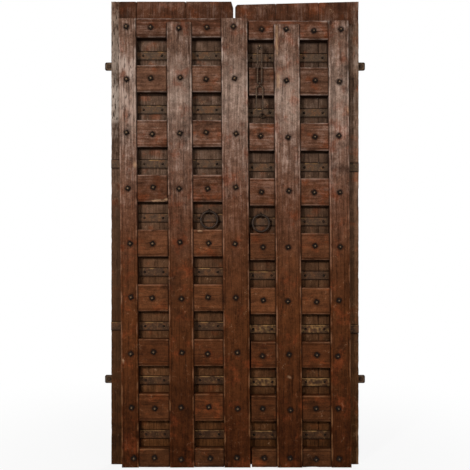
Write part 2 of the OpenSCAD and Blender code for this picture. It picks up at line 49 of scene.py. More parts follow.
# Sizes are in millimetres. Meshes are brought to metres when they are finished.
panel = {
    "height": 2050,
    "lean": tan(radians(0.42)),  # the stiles lean this much out of plumb
    "boardFront": 10.265,  # y of the boards' front face
    "boardThick": 30,
    "stileThick": 45,
    "railThick": 41,
    "tongueThick": 20,
    "lapGap": 0.3,
    "scoreInset": 11,
    "scoreWidth": 3,
    "scoreDepth": 2,
    "cell": 9,  # how wide the faces are that a surface is cut into
    "arris": 3.5,
    "arrisDeep": 3,
    "wall": 0.12,  # width of a steep step between two levels of a face
    "faceDepth": 0.5,  # what is less deep than this lies on the face
}
boardFront = panel["boardFront"]
boardBack = boardFront + panel["boardThick"]
stileFront = boardFront - panel["stileThick"]
railFront = boardFront - panel["railThick"]
tongueFront = boardFront - panel["tongueThick"]
lapGap = panel["lapGap"]
wall = panel["wall"]
cell = panel["cell"]

# Stiles: middle at mid-height, width, top, and how light the wood is
stiles = {
    "left_outer_stile": {"mid": -464.5, "width": 76, "top": 1963.5, "tone": 1.1},
    "left_middle_stile": {"mid": -238, "width": 109, "top": 1946.5, "tone": 0.94},
    "meeting_stile": {"mid": 3.5, "width": 116, "top": 1963.5, "tone": 1.04},
    "right_middle_stile": {"mid": 232.5, "width": 112, "top": 1936.5, "tone": 1.06},
    "right_outer_stile": {"mid": 458, "width": 89, "top": 1953.5, "tone": 1.06},
}
leafStiles = {
    "left": ["left_outer_stile", "left_middle_stile", "meeting_stile"],
    "right": ["right_middle_stile", "right_outer_stile"],
}
bayMids = {"left": [-359.5, -119], "right": [119, 351]}
railCount = 9
rowCount = 8
near = 0.01  # places closer than this are the same
onLine = 0.05  # a point this close to a scored line lies on it


def shift(z):
    return (panel["height"] / 2 - z) * panel["lean"]


def boxOf(node):
    low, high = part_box(node)
    return low * 1000, high * 1000


sides = ("left", "right")
railBoxes = {side: [boxOf(f"{side}_rail_{k}") for k in range(1, railCount + 1)] for side in sides}


def smooth(low, high, value):
    t = min(max((value - low) / (high - low), 0), 1)
    return t * t * (3 - 2 * t)


def fade(low, high, value):
    return 1 - smooth(low, high, value)


# Smooth noise between -1 and 1, with features of a given size
def wander(x, y, z, size):
    return noise.noise(Vector((x / size, y / size, z / size)))


# The same noise between 0 and 1
def swell(x, y, z, size):
    return 0.5 + 0.5 * wander(x, y, z, size)


def meshOf(bm, name):
    mesh = bpy.data.meshes.new(name)
    bm.to_mesh(mesh)
    bm.free()
    return mesh


def show(name, data):
    thing = bpy.data.objects.new(name, data)
    scene.collection.objects.link(thing)
    return thing


# Camera, as far from the door and as high as the photograph's
view = {"distance": 2950, "height": 1016, "lens": 51.8}
camera = show("camera", bpy.data.cameras.new("camera"))
camera.data.lens = view["lens"]
camera.data.sensor_width = 36
camera.location = (0, (stileFront - view["distance"]) / 1000, view["height"] / 1000)
camera.rotation_euler = (radians(90), 0, 0)
scene.camera = camera
print("camera placed")


# A socket that can be written in expressions: each operator adds a Math node
class Wire:
    def __init__(self, finish, node, output):
        self.finish = finish
        self.node = node
        self.socket = node.outputs[output] if node.outputs else None

    def out(self, output):
        return Wire(self.finish, self.node, output)

    def maths(self, operation, first, second):
        return self.finish.add("Math", {"operation": operation}, {0: first, 1: second})

    def __add__(self, other):
        return self.maths("ADD", self, other)

    def __sub__(self, other):
        return self.maths("SUBTRACT", self, other)

    def __rsub__(self, other):
        return self.maths("SUBTRACT", other, self)

    def __mul__(self, other):
        return self.maths("MULTIPLY", self, other)

    def ramp(self, low, high):
        sockets = {"Value": self, "From Min": low, "From Max": high}
        return self.finish.add("MapRange", {"interpolation_type": "SMOOTHSTEP"}, sockets)

    # 1 on the thin lines where a noise passes its middle value
    def hairline(self, width):
        off = self - 0.5
        return 1 - (off * off).ramp(0, width * width)


# A node tree whose nodes all come from one method
class Finish:
    def __init__(self, tree):
        self.tree = tree
        tree.nodes.clear()

    def add(self, kind, settings=None, sockets=None, output=0):
        node = self.tree.nodes.new("ShaderNode" + kind)
        for key, value in (settings or {}).items():
            if key == "stops":
                setStops(node.color_ramp, value)
            else:
                setattr(node, key, value)
        for key, value in (sockets or {}).items():
            if isinstance(value, Wire):
                self.tree.links.new(value.socket, node.inputs[key])
            else:
                node.inputs[key].default_value = value
        return Wire(self, node, output)

    def mix(self, factor, first, second, blend="MIX"):
        settings = {"data_type": "RGBA", "blend_type": blend, "clamp_factor": True}
        return self.add("Mix", settings, {0: factor, 6: first, 7: second}, 2)

    def noise(self, place, scale, detail=4, roughness=0.6, output=0):
        sockets = {"Vector": place, "Scale": scale, "Detail": detail, "Roughness": roughness}
        return self.add("TexNoise", {}, sockets, output)

    def gradient(self, factor, stops):
        return self.add("ValToRGB", {"stops": stops}, {0: factor})

    def close(self, sockets, bump):
        sockets["Normal"] = self.add("Bump", {}, bump)
        shader = self.add("BsdfPrincipled", {}, sockets)
        self.add("OutputMaterial", {}, {"Surface": shader})


def setStops(ramp, stops):
    while len(ramp.elements) < len(stops):
        ramp.elements.new(0.5)
    for element, (place, colour) in zip(ramp.elements, stops):
        element.position = place
        element.color = rgba(colour)


# Colours are written as they look on screen, 0 to 255
def rgba(colour):
    linear = []
    for part in colour:
        part = part / 255
        linear.append(part / 12.92 if part <= 0.04045 else ((part + 0.055) / 1.055) ** 2.4)
    return (*linear, 1)


def newMaterial(name):
    material = bpy.data.materials.new(name)
    material.use_nodes = True
    return material


# The start of every finish: the place, its share of the door's height, and the mesh's marks, which say
# where it is worn or has a painted highlight (red), dirty or has painted shade (green) or raw (blue), and
# how light it is, with painted light in places (alpha)
def openFinish(name):
    material = newMaterial(name)
    f = Finish(material.node_tree)
    place = f.add("TexCoord", output="Object")
    height = f.add("SeparateXYZ", sockets={0: place}, output="Z") * (1000 / panel["height"])
    mark = f.add("Attribute", {"attribute_name": "marks"})
    marks = f.add("SeparateColor", sockets={0: mark})
    return material, f, place, height, mark, marks


# Noises of the wood. Grains: features per metre across and along, and detail.
# Spots: features per metre, detail, roughness.
wood = {
    "grains": {
        "wide": (36, 2.6, 3),
        "narrow": (135, 8, 4),
        "fibre": (520, 24, 3),
        "split": (48, 1.7, 3),
        "pit": (150, 32, 3),
    },
    "spots": {
        "drift": (8, 2, 0.5),
        "blotch": (6.5, 5, 0.65),
        "mottle": (31, 4, 0.68),
        "grit": (190, 3, 0.6),
        "rust": (12.5, 5, 0.68),
        "cloud": (15, 4, 0.6),
        "stain": (5.1, 6, 0.72),
        "scratch": (19, 3, 0.55),
    },
    "splitWidth": 0.011,
    "scratchWidth": 0.006,
    "bumpDistance": 0.0016,
}


# Old wood, with a colour that goes by height
def woodFinish(name, look):
    material, f, place, height, mark, marks = openFinish(name)
    worn = marks.out("Red")
    dirtAndShade = marks.out("Green")
    raw = marks.out("Blue")
    tone = mark.out("Alpha")

    def speckle(kind, output=0):
        return f.noise(place, *wood["spots"][kind], output)

    bend = {0: speckle("drift", "Color"), 1: (look["bend"],) * 3, 2: place}
    bent = f.add("VectorMath", {"operation": "MULTIPLY_ADD"}, bend)

    def grain(kind):
        across, along, detail = wood["grains"][kind]
        scale = [across] * 3
        scale[look["grainAxis"]] = along
        stretched = f.add("VectorMath", {"operation": "MULTIPLY"}, {0: bent, 1: scale})
        return f.noise(stretched, 1, detail)

    wide = grain("wide").ramp(0.3, 0.7)
    narrow = grain("narrow").ramp(0.3, 0.7)
    fibre = grain("fibre").ramp(0.3, 0.7)
    split = grain("split").hairline(wood["splitWidth"])
    mottle = speckle("mottle")
    grit = speckle("grit")
    cloud = speckle("cloud").ramp(0.3, 0.7)

    colour = f.gradient(height + (speckle("blotch") - 0.5) * look["unevenness"], look["byHeight"])
    rust = speckle("rust").ramp(0.52, 0.68)
    colour = f.mix(rust * look["warmAmount"], colour, rgba(look["warm"]))
    # Pale grey dust over the upper part, partly a painted sheen
    dustAndSheen = (cloud * 0.25 + mottle * 0.5 + narrow * 0.25 + grit * 0.3).ramp(0.6, 0.95)
    dustAndSheen = dustAndSheen * height.ramp(0.45, 0.72)
    colour = f.mix(dustAndSheen * look["dustAndSheenAmount"], colour, rgba(look["dustAndSheen"]))
    stain = speckle("stain").ramp(0.54, 0.7)
    colour = f.mix(stain * look["stainAmount"], colour, rgba(look["dark"]))
    broad = wide * 0.34 + cloud * 0.24  # the parts of the shade add up to about 1 on the whole
    streaks = narrow * 0.36 + fibre * 0.2
    specks = mottle.ramp(0.3, 0.7) * 0.44 + grit.ramp(0.3, 0.7) * 0.36
    shade = broad + streaks + specks + 0.04
    colour = f.mix(1, colour, shade * tone, "MULTIPLY")
    colour = f.mix(split * look["splitAmount"], colour, rgba(look["dark"]))
    scratch = speckle("scratch").hairline(wood["scratchWidth"]) * mottle.ramp(0.5, 0.62)
    colour = f.mix(scratch * look["scratchAmount"], colour, rgba(look["pale"]))
    rubbed = (worn * (mottle * 0.8 + cloud * 0.5 + narrow * 0.3)).ramp(0.3, 0.95)
    colour = f.mix(rubbed * look["wearAmount"], colour, f.gradient(height, look["wearByHeight"]))
    pit = grain("pit").ramp(0.56, 0.64) * worn
    colour = f.mix(pit * look["pitAmount"], colour, rgba(look["dark"]))
    # Dirt, and painted shade in the recesses, in the corners and under the rails
    grimeAndShade = (dirtAndShade * (mottle * 0.6 + 0.7)).ramp(0.08, 0.95)
    colour = f.mix(grimeAndShade * look["dirtAndShadeAmount"], colour, rgba(look["dark"]))
    colour = f.mix(raw * fibre.ramp(0.05, 0.6), colour, rgba(look["pale"]))

    rough = (narrow - 0.5) * 0.16 + look["rough"] + grimeAndShade * 0.12 - rubbed * 0.1
    relief = narrow * 0.3 + fibre * 0.25 + mottle * 0.6 + grit * 0.3 - split * 0.6 - pit * 0.8
    bump = {"Height": relief, "Strength": look["relief"], "Distance": wood["bumpDistance"]}
    f.close({"Base Color": colour, "Roughness": rough, "Specular IOR Level": look["sheen"]}, bump)
    return material


# Iron: dark scale, rust, rubbed edges with painted highlights, and dirt with painted shade
def ironFinish(name, look):
    material, f, place, height, mark, marks = openFinish(name)
    patch = f.noise(place, look["patch"], 5, 0.68)
    grit = f.noise(place, look["grit"], 3, 0.6)
    speck = f.noise(place, look["speck"], 3, 0.6)
    rusty = patch.ramp(0.46, 0.66)
    colour = f.gradient(height + (patch - 0.5) * 0.3, look["byHeight"])
    colour = f.mix(rusty * look["rustAmount"], colour, rgba(look["rust"]))
    shade = grit.ramp(0.25, 0.75) * 0.7 + patch.ramp(0.3, 0.7) * 0.6 + 0.35
    colour = f.mix(1, colour, shade, "MULTIPLY")
    colour = f.mix(speck.ramp(0.56, 0.72) * look["paleAmount"], colour, rgba(look["pale"]))
    # Rubbed edges, and painted highlights on the nail tips and on the ironwork's faces that look to the
    # front
    rubbed = (marks.out("Red") * (speck + 0.5)).ramp(0.3, 1)
    colour = f.mix(rubbed * look["rubAndHighlightAmount"], colour, rgba(look["pale"]))
    # Dirt, and painted shade along the lower edges of the straps
    grimeAndShade = (marks.out("Green") * (patch + 0.5)).ramp(0.15, 1)
    colour = f.mix(grimeAndShade * 0.85, colour, rgba(look["dark"]))
    rough = (grit - 0.5) * 0.35 + look["rough"] + rusty * 0.12 - rubbed * 0.1
    metal = look["metal"] - rusty * (look["metal"] * 0.6)
    relief = grit * 0.7 + patch
    bump = {"Height": relief, "Strength": 0.5, "Distance": 0.0012}
    sockets = {"Base Color": colour, "Roughness": rough, "Metallic": metal}
    sockets["Specular IOR Level"] = look["sheen"]
    f.close(sockets, bump)
    return material


stileLook = {
    "grainAxis": 2,
    "byHeight": [
        (0.06, (66, 33, 14)),
        (0.3, (82, 45, 22)),
        (0.44, (86, 50, 29)),
        (0.56, (98, 63, 45)),
        (0.68, (112, 83, 68)),
        (0.79, (144, 119, 104)),
        (0.91, (106, 78, 63)),
    ],
    "wearByHeight": [(0.1, (136, 92, 60)), (0.5, (150, 108, 84)), (0.85, (188, 165, 151))],
    "bend": 0.012,
    "unevenness": 0.25,
    "warm": (122, 58, 30),
    "warmAmount": 0.5,
    "dustAndSheen": (172, 152, 140),
    "dustAndSheenAmount": 0.36,
    "stainAmount": 0.55,
    "splitAmount": 0.5,
    "pitAmount": 0.6,
    "scratchAmount": 0.32,
    "wearAmount": 0.74,
    "dirtAndShadeAmount": 0.88,
    "dark": (26, 15, 9),
    "pale": (178, 140, 108),
    "rough": 0.6,
    "relief": 0.5,
    "sheen": 0.03,
}
railLook = dict(
    stileLook,
    grainAxis=0,
    byHeight=[
        (0.03, (80, 47, 26)),
        (0.2, (82, 44, 22)),
        (0.4, (97, 58, 34)),
        (0.6, (93, 57, 38)),
        (0.72, (98, 65, 48)),
        (0.83, (103, 70, 52)),
        (0.95, (91, 56, 39)),
    ],
    warm=(122, 60, 30),
    warmAmount=0.55,
    dustAndSheenAmount=0.2,
)
boardLook = dict(
    stileLook,
    byHeight=[
        (0.05, (90, 55, 29)),
        (0.4, (93, 63, 42)),
        (0.7, (96, 73, 58)),
        (0.93, (92, 69, 54)),
        (0.96, (84, 51, 34)),
    ],
    wearByHeight=[
        (0.1, (112, 80, 54)),
        (0.5, (120, 92, 72)),
        (0.78, (180, 162, 148)),
        (0.95, (146, 124, 108)),
    ],
    wearAmount=0.95,
    pitAmount=0.95,
    warm=(126, 64, 33),
    warmAmount=0.45,
    scratchAmount=0.45,
    dustAndSheenAmount=0.14,
    unevenness=0.04,
)
nailLook = {
    "byHeight": [(0.1, (25, 18, 14)), (0.9, (29, 22, 18))],
    "patch": 60,
    "grit": 320,
    "speck": 140,
    "rust": (50, 29, 18),
    "rustAmount": 0.5,
    "pale": (138, 110, 80),
    "paleAmount": 0.12,
    "rubAndHighlightAmount": 0.6,
    "dark": (10, 7, 5),
    "rough": 0.48,
    "metal": 0.15,
    "sheen": 0.08,
}
strapLook = dict(
    nailLook,
    byHeight=[(0.05, (68, 45, 29)), (0.45, (76, 54, 39)), (0.7, (84, 66, 52)), (0.95, (82, 64, 50))],
    patch=30,
    speck=100,
    rust=(98, 60, 34),
    pale=(164, 124, 76),
    paleAmount=0.34,
    rubAndHighlightAmount=0.8,
    rough=0.6,
    metal=0.1,
)
chainLook = dict(
    nailLook,
    byHeight=[(0.1, (40, 30, 23)), (0.9, (46, 34, 26))],
    rust=(66, 41, 26),
    pale=(136, 107, 76),
    paleAmount=0.2,
    rubAndHighlightAmount=0.8,
    rough=0.5,
    metal=0.3,
    sheen=0.2,
)
barLook = dict(
    nailLook,
    byHeight=[(0.1, (66, 50, 39)), (0.9, (70, 54, 42))],
    patch=22,
    rough=0.6,
)
# Each kind of surface: material, slot
finishes = {
    "stile": (woodFinish("weathered_stile", stileLook), "stile_wood"),
    "rail": (woodFinish("red_rail", railLook), "rail_wood"),
    "board": (woodFinish("grey_board", boardLook), "board_wood"),
    "nail": (ironFinish("forged_iron", nailLook), "forged_iron"),
    "strap": (ironFinish("strap_iron", strapLook), "strap_iron"),
    "chain": (ironFinish("chain_iron", chainLook), "forged_iron"),
    "bar": (ironFinish("bar_iron", barLook), "bar_iron"),
}
print("finishes made:", len(finishes))


def newMesh():
    bm = bmesh.new()
    bm.verts.layers.float_color.new("marks")
    return bm


# A box between two corners
def block(low, high):
    bm = newMesh()
    size = [b - a for a, b in zip(low, high)]
    middle = [(a + b) / 2 for a, b in zip(low, high)]
    ops.create_cube(bm, size=1, matrix=Matrix.Translation(middle) @ Matrix.Diagonal((*size, 1)))
    return bm


def cutAcross(bm, axis, places):
    normal = Vector((0, 0, 0))
    normal[axis] = 1
    for place in sorted(places):
        geom = bm.verts[:] + bm.edges[:] + bm.faces[:]
        ops.bisect_plane(bm, geom=geom, dist=0.001, plane_co=normal * place, plane_no=normal)


# Even places between two ends, clear of the places that are already cut
def spread(low, high, step, taken=()):
    count = max(int((high - low) / step), 1)
    places = [low + (high - low) * i / count for i in range(1, count)]
    return [p for p in places if all(abs(p - t) > step * 0.3 for t in taken)]


# Cuts on both sides and along the middle of each scored line
def scoreCuts(places):
    half = panel["scoreWidth"] / 2
    return [cut for g in places for cut in (g - half, g, g + half)]


# A scored line is deeper in some places than in others
def scoreSink(p, seed):
    return panel["scoreDepth"] * (0.75 + 0.5 * wander(p.x, seed, p.z, 120))


def moveAll(moves):
    for v, move in moves.items():
        v.co += move


def bevelEdges(bm, chosen, width, segments):
    edges = [e for e in bm.edges if chosen(e)]
    ops.bevel(bm, geom=edges, offset=width, offset_type="OFFSET", segments=segments, profile=0.5,
                    affect="EDGES", material=-1, clamp_overlap=True)


def lies(e, axis, place):
    return all(abs(v.co[axis] - place) < near for v in e.verts)


# Rounds a front face's edges where it ends, each end given as an axis and a place
def roundFront(bm, front, ends, width, segments):
    bevelEdges(bm, lambda e: lies(e, 1, front) and any(lies(e, *end) for end in ends), width, segments)


# Pulls copies of faces out and gives their points
def extrude(bm, faces):
    grown = ops.extrude_face_region(bm, geom=faces)
    return [g for g in grown["geom"] if isinstance(g, bmesh.types.BMVert)]


def setMarks(bm, marks, tone=lambda v: 1):
    layer = bm.verts.layers.float_color["marks"]
    for v in bm.verts:
        v[layer] = (*marks(v), tone(v))


def addPiece(name, bm, finish, nodes, body="panel", sharp=38):
    ops.scale(bm, vec=(0.001, 0.001, 0.001), verts=bm.verts)
    mesh = meshOf(bm, name)
    material, slot = finishes[finish]
    mesh.materials.append(material)
    mesh.polygons.foreach_set("use_smooth", [True] * len(mesh.polygons))
    mesh.set_sharp_from_angle(angle=radians(sharp))
    piece = show(name, mesh)
    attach(piece, body)
    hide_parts(*nodes)


# Forged nails stand where the frame has them: a little off their marks, each turned its own way
nails = {
    "headWidth": 20,
    "headHeight": 10,
    "rim": 2,
    "tip": 5,
    "shank": 7,
    "stray": 4,
    "drift": 22,
    "clench": 22,
    "clenchShare": 0.65,
    "rounding": {"left": 0.7, "right": 1.4},
    "dent": 0.9,
    "dentSize": 9,
    "bright": (9, 9.9),  # heights on the head: rubbed, with a painted highlight, from here to there
    "dirty": (1, 4),
    "sunk": 0.5,  # the shank starts this deep
    "past": 2,  # and ends this far past the boards
    "short": 0.15,  # or this far before them
}
# Nails stand in columns on the stiles and between them. The outer columns drift.
driftWays = {"left_outer_stile": 1, "right_outer_stile": -1}


def nailColumns(side):
    found = [(mid, False, True, 0) for mid in bayMids[side]]
    for name in leafStiles[side]:
        through = name != "meeting_stile"  # its nails stop short of the other leaf
        found.append((stiles[name]["mid"], True, through, driftWays.get(name, 0)))
    return sorted(found)


def stray(a, b):
    return nails["stray"] * sin(radians(137 * a + 83 * b))


def nailSpots():
    found = []
    for sideIndex, side in enumerate(sides):
        for c, (mid, onStile, through, way) in enumerate(nailColumns(side)):
            for k in range(1, railCount + 1):
                if side == "right" and c == 0 and k == 2:
                    continue  # the hasp hangs there
                low, high = railBoxes[side][k - 1]
                z = (low.z + high.z) / 2 + stray(k, 3 * c)
                drift = way * nails["drift"] * ((k - 1) / rowCount - 1 / 3)
                turn = 45 + 24 * sin(radians(101 * k + 67 * c + 40 * sideIndex))
                x = mid + drift + stray(c, k) + shift(z)
                face = stileFront if onStile else railFront
                found.append({"x": x, "z": z, "face": face, "onStile": onStile, "through": through,
                              "turn": turn, "side": side})
    return found


spots = nailSpots()
print("nail spots:", len(spots))


# How near a point of a face is to a nail, from 1 at its rim to 0
def nailNear(x, z, onStile):
    best = inf
    for s in spots:
        if s["onStile"] == onStile:
            best = min(best, (s["x"] - x) ** 2 + (s["z"] - z) ** 2)
    return fade(*wear["nailReach"], sqrt(best))


# Wear: the surface sinks unevenly, and more along the arrises
wear = {
    "hollow": 0.6,
    "hollowSize": 60,
    "nick": 1.3,
    "nickSize": 13,
    "nickFrom": -0.25,
    "chip": 5,
    "chipSize": 42,
    "chipFrom": 0.2,
    "edgeReach": 9,  # how far in from an edge it is nicked and chipped
    "nailDirt": 0.8,
    "nailReach": (8, 26),  # dirt: from a nail's middle, full up to here, gone there
}


def weather(p, edge, seed):
    hollow = swell(p.x + seed, p.y, p.z * 0.3, wear["hollowSize"])
    nick = max(wander(p.x, p.y + seed, p.z, wear["nickSize"]) - wear["nickFrom"], 0)
    chip = max(wander(p.x + seed, p.y, p.z, wear["chipSize"]) - wear["chipFrom"], 0)
    return wear["hollow"] * hollow + edge * (wear["nick"] * nick + wear["chip"] * chip)


# Bare wood shows where something broke off: middle and half size of each place, across and up
rawSpots = {
    "left_rail_4": [(-336, 1166, 40, 7), (-300, 1172, 8, 6)],
    "left_rail_5": [(-153, 1034, 9, 6)],
    "right_middle_stile": [(187, 1690, 8, 45), (183, 1865, 6, 80), (234, 398, 8, 4)],
    "left_outer_stile": [(-436, 1325, 9, 14), (-486, 465, 5, 8)],
    "right_outer_stile": [(492, 1560, 6, 14)],
}


def rawAt(name, x, z):
    best = 0
    for rx, rz, w, h in rawSpots.get(name, []):
        away = sqrt(((x - rx) / w) ** 2 + ((z - rz) / h) ** 2)
        best = max(best, fade(0.5, 1, away + 0.4 * wander(x, 0, z, 8)))
    return best


stile = {
    "sideCuts": (7, 15),  # behind the face
    "wave": 1.3,  # how far the sides stray from straight
    "waveSize": 130,
    "crackSway": 2.5,
    "rubbed": (3.5, 9),  # from the side: in full up to here, gone there
    "bead": 0.5,  # how rubbed the strip outside a scored line is
    "sideShade": (5, 28),  # painted shade on the sides, from the face: none up to here, full there
    "scoreDirt": 0.6,
    "nailDeep": 8,
    "greyRun": 120,
    "splinterDeep": 14,
    "splinterFade": 16,
    "cracks": {  # across from the middle, from height, to height, depth
        "left_outer_stile": [(-14, 1320, 1860, 3.5), (7, 1500, 1930, 3), (19, 980, 1400, 2.5)],
        "left_middle_stile": [(-22, 1560, 1940, 2.5), (16, 1150, 1480, 2.5), (-8, 300, 700, 2)],
        "meeting_stile": [(-30, 1430, 1800, 2.5), (24, 600, 930, 2.5), (5, 1150, 1400, 2)],
        "right_middle_stile": [(-18, 1500, 1800, 2.5), (12, 200, 520, 2.5), (28, 1000, 1300, 2)],
        "right_outer_stile": [(-15, 1380, 1720, 2.5), (18, 640, 1000, 2.5)],
    },
    # Grey weathered length: from height, to height, how much
    "greyed": {"left_outer_stile": (1360, 1850, 1.3), "right_middle_stile": (1420, 1780, 0.5)},
    # A splinter is gone from one arris: side, from height, to height, how far it reaches in
    "splinters": {"right_middle_stile": (-1, 1640, 1738, 8)},
}


def makeStile(name, d, side, seed):
    half = d["width"] / 2
    rails = railBoxes[side]
    bm = block((-half, stileFront, 0), (half, boardFront, d["top"]))
    steps = []
    for low, high in rails:
        for z in (low.z - lapGap, high.z + lapGap):
            if 1 < z < d["top"] - 1:
                steps += [z - wall / 2, z + wall / 2]
    cutAcross(bm, 2, steps + spread(0, d["top"], cell, steps))
    scores = [way * (half - panel["scoreInset"]) for way in (-1, 1)]
    cracks = stile["cracks"][name]
    lines = scoreCuts(scores + [c[0] for c in cracks])
    cutAcross(bm, 0, lines + spread(-half, half, cell, lines))
    sideCuts = [stileFront + cut for cut in stile["sideCuts"]]
    cutAcross(bm, 1, sideCuts + [tongueFront - lapGap, boardFront - cell])
    ends = [(0, -half), (0, half), (2, 0), (2, d["top"])]
    roundFront(bm, stileFront, ends, panel["arris"], 3)
    grooved = set()
    for v in bm.verts:
        p = v.co
        for low, high in rails:  # the notch that each rail's tongue lies in
            if low.z - lapGap - near < p.z < high.z + lapGap + near:
                p.y = min(p.y, tongueFront - lapGap)
        if p.y > stileFront + panel["faceDepth"]:
            continue
        for g in scores:
            if abs(p.x - g) < onLine:
                p.y += scoreSink(p, seed)
                grooved.add(v)
        for g, z0, z1, depth in cracks:
            along = (p.z - z0) / (z1 - z0)
            if 0 < along < 1 and abs(p.x - g) < panel["scoreWidth"]:
                if abs(p.x - g) < onLine:
                    p.y += depth * sin(pi * along) * (0.8 + wander(p.x, seed, p.z, 50))
                    grooved.add(v)
                p.x += stile["crackSway"] * wander(seed, 3 * g, p.z, 90)
    bm.normal_update()
    frontDepth = panel["stileThick"] - panel["tongueThick"] - 1
    moves = {}
    for v in bm.verts:
        deep = v.co.y - stileFront
        if deep < frontDepth:
            edge = fade(0, wear["edgeReach"], half - abs(v.co.x) + deep)
            moves[v] = -v.normal * weather(v.co, edge, seed)
            wave = swell(seed, copysign(50, v.co.x), v.co.z, stile["waveSize"])
            wave *= stile["wave"] * smooth(half * 0.6, half, abs(v.co.x))
            moves[v].x -= copysign(wave, v.co.x)
    moveAll(moves)
    way, z0, z1, reach = stile["splinters"].get(name, (0, 0, 1, 0))
    for v in bm.verts:
        along = (v.co.z - z0) / (z1 - z0)
        deep = v.co.y - stileFront
        if way and 0 < along < 1 and deep < stile["splinterDeep"]:
            gone = reach * sin(pi * along) ** 0.6 * (1 - deep / stile["splinterFade"])
            v.co.x = way * min(way * v.co.x, half - gone)

    def marks(v):
        p = v.co
        fromSide = half - abs(p.x)
        deep = p.y - stileFront
        behind = deep - panel["arrisDeep"]
        worn = fade(*stile["rubbed"], fromSide + max(behind, 0))
        if behind < 0:
            bead = fade(panel["scoreInset"] - 2, panel["scoreInset"], fromSide)
            worn = max(worn, stile["bead"] * bead)
        worn *= 0.3 + 0.7 * smooth(-0.25, 0.3, wander(copysign(40, p.x), seed, p.z, 60))
        z0, z1, amount = stile["greyed"].get(name, (0, 1, 0))
        run = stile["greyRun"]
        grey = amount * smooth(z0, z0 + run, p.z) * fade(z1 - run, z1, p.z)
        worn = max(worn, grey * smooth(-0.5, 0.4, wander(p.x * 3, seed, p.z, 90)))
        # Dirt in the scored lines; painted shade on the sides, deeper into the recess
        dirtAndShade = stile["scoreDirt"] if v in grooved else smooth(*stile["sideShade"], deep)
        x = p.x + d["mid"] + shift(p.z)
        if deep < stile["nailDeep"]:
            dirtAndShade = max(dirtAndShade, wear["nailDirt"] * nailNear(x, p.z, True))
        return worn, dirtAndShade, rawAt(name, x, p.z)

    setMarks(bm, marks, lambda v: d["tone"])
    for v in bm.verts:
        v.co.x += d["mid"] + shift(v.co.z)
    addPiece(name + "_timber", bm, "stile", [name])


for index, (name, d) in enumerate(stiles.items()):
    makeStile(name, d, "right" if name.startswith("right") else "left", 137 * index)
print("stiles made:", len(stiles))

rail = {
    "sideCuts": (6, 13),  # behind the face
    "worn": 0.8,
    "rubbed": (3.5, 8),  # from the edge: in full up to here, gone there
    "underShade": (4, 16),  # painted shade under the rail, from the face: none up to here, full there
    # painted shade on the sides, from the face: none up to here, full there
    "sideShade": (8, 40),
    "sideAmount": 0.6,
    "scoreDirt": 0.5,
    "jointDirt": 0.75,
    "jointReach": 7,
    "faceDeep": 8,
    "footDarkening": 0.45,
    "footReach": (4, 20),
    "toneSwing": 0.12,  # how much the rails differ in tone
}


def makeRail(side, k, seed):
    name = f"{side}_rail_{k}"
    low, high = railBoxes[side][k - 1]
    lean = shift((low.z + high.z) / 2)
    bm = block((low.x, railFront, low.z), (high.x, boardFront, high.z))
    seats = []
    for s in leafStiles[side]:
        d = stiles[s]
        mid = d["mid"] + lean
        half = d["width"] / 2 + lapGap
        short = k == 1 and d["top"] < high.z - 1
        top = d["top"] + lapGap if short else high.z + 1
        seats.append((mid - half, mid + half, top))
    steps = []
    for x0, x1, top in seats:
        for x in (x0 - wall, x0, x1, x1 + wall):
            if low.x + 0.5 < x < high.x - 0.5:
                steps.append(x)
    cutAcross(bm, 0, steps + spread(low.x, high.x, cell, steps))
    scores = [low.z + panel["scoreInset"], high.z - panel["scoreInset"]]
    lines = scoreCuts(scores)
    for x0, x1, top in seats:
        if top < high.z:
            lines += [top, top + wall]
    cutAcross(bm, 2, lines + spread(low.z, high.z, cell, lines))
    sideCuts = [railFront + cut for cut in rail["sideCuts"]]
    cutAcross(bm, 1, sideCuts + [tongueFront + cell])
    roundFront(bm, railFront, [(2, low.z), (2, high.z)], panel["arris"], 3)
    grooved = set()
    for v in bm.verts:
        p = v.co
        seated = False
        for x0, x1, top in seats:
            if x0 - near < p.x < x1 + near and p.z < top + near:
                p.y = max(p.y, tongueFront)
                seated = True
        if not seated and p.y < railFront + panel["faceDepth"]:
            for g in scores:
                if abs(p.z - g) < onLine:
                    p.y += scoreSink(p, seed)
                    grooved.add(v)
    bm.normal_update()
    frontDepth = panel["railThick"] - panel["tongueThick"] - 1
    moves = {}
    under = set()
    for v in bm.verts:
        deep = v.co.y - railFront
        if v.normal.z < -0.6:
            under.add(v)
        if deep < frontDepth:
            edge = fade(0, wear["edgeReach"], min(v.co.z - low.z, high.z - v.co.z) + deep)
            moves[v] = -v.normal * weather(v.co, edge, seed)
    moveAll(moves)

    def marks(v):
        p = v.co
        deep = p.y - railFront
        fromEdge = min(p.z - low.z, high.z - p.z)
        behind = max(deep - panel["arrisDeep"], 0)
        worn = rail["worn"] * fade(*rail["rubbed"], fromEdge + behind)
        # Painted shade on the sides and the underside, deeper into the recess
        dirtAndShade = rail["sideAmount"] * smooth(*rail["sideShade"], deep)
        if v in under:
            dirtAndShade = smooth(*rail["underShade"], deep)
        if v in grooved:
            dirtAndShade = rail["scoreDirt"]
        if deep < rail["faceDeep"]:
            for x0, x1, top in seats:  # dirt along the joint with a stile
                if p.z < top:
                    away = min(abs(p.x - x0), abs(p.x - x1))
                    dirtAndShade = max(dirtAndShade, rail["jointDirt"] * fade(0, rail["jointReach"], away))
            dirtAndShade = max(dirtAndShade, wear["nailDirt"] * nailNear(p.x, p.z, False))
            # Darker along the lower edge of the face
            dirtAndShade = max(dirtAndShade, rail["footDarkening"] * fade(*rail["footReach"], p.z - low.z))
        return worn, dirtAndShade, rawAt(name, p.x, p.z)

    tone = 1 + rail["toneSwing"] * sin(2.3 * k + (1.7 if side == "left" else 0))
    setMarks(bm, marks, lambda v: tone)
    for v in bm.verts:
        v.co.x += shift(v.co.z) - lean
    addPiece(name + "_timber", bm, "rail", [name])


for sideIndex, side in enumerate(sides):
    for k in range(1, railCount + 1):
        makeRail(side, k, 71 * k + 900 * sideIndex)
print("rails made:", 2 * railCount)

